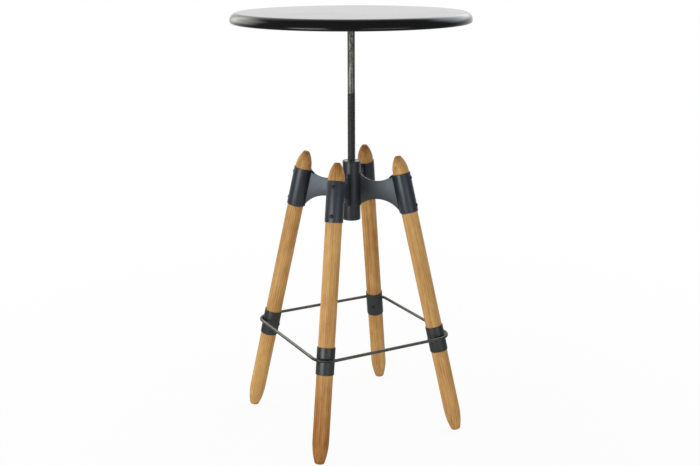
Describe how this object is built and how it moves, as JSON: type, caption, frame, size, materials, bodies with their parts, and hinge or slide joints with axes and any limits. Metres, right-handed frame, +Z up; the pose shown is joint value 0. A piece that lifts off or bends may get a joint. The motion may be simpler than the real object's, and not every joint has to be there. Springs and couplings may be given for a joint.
{
  "type": "adjustable wine table",
  "caption": "Tall round wine table: glossy steel top on a screw spindle, splayed turned wooden legs in a welded steel stand with a bent-rod foot ring.",
  "frame": {"origin": "on the floor under the middle of the table top", "axes": "+Z up along the spindle; the legs stand on the diagonals between X and Y"},
  "size_m": [0.5999, 0.6, 1.0875],
  "materials": {
    "black_enamel": "gloss",
    "gunmetal": "satin",
    "ring_steel": "mill finish, darkened",
    "spindle_steel": "bare shank above, darkened thread below",
    "nut_steel": "plain",
    "screw_steel": "satin",
    "leg_wood": "satin lacquer"
  },
  "bodies": {
    "stand": {"leg_back_right": "leg_wood", "leg_back_left": "leg_wood", "leg_front_left": "leg_wood", "leg_front_right": "leg_wood", "sleeve_back_right": "gunmetal", "sleeve_back_left": "gunmetal", "sleeve_front_left": "gunmetal", "sleeve_front_right": "gunmetal", "web_back_right": "gunmetal", "web_back_left": "gunmetal", "web_front_left": "gunmetal", "web_front_right": "gunmetal", "ferrule_back_right": "gunmetal", "ferrule_back_left": "gunmetal", "ferrule_front_left": "gunmetal", "ferrule_front_right": "gunmetal", "sleeve_screws": "screw_steel", "ferrule_screws": "screw_steel", "hub_tube": "gunmetal", "spindle_nut": "nut_steel", "foot_ring": "ring_steel"},
    "stop": {"stop_washer": "nut_steel"},
    "top": {"spindle": "spindle_steel", "stop_screw": "nut_steel", "spindle_socket": "gunmetal", "socket_pin": "nut_steel", "top_spider": "gunmetal", "weld_studs": "nut_steel", "stud_nuts": "nut_steel", "table_top": "black_enamel"}
  },
  "joints": [
    {"name": "top_lift", "type": "slide", "parent": "stand", "child": "stop", "axis": [0, 0, 1], "range_m": [-0.1721, 0.0201]},
    {"name": "top_turn", "type": "hinge", "parent": "stop", "child": "top", "pos_m": [0, 0, 0.7], "axis": [0, 0, 1], "range_deg": [-15480, 1800]}
  ],
  "couplings": [
    {"joint": "top_lift", "follows": "top_turn", "m_per_rad": 0.00063662}
  ]
}
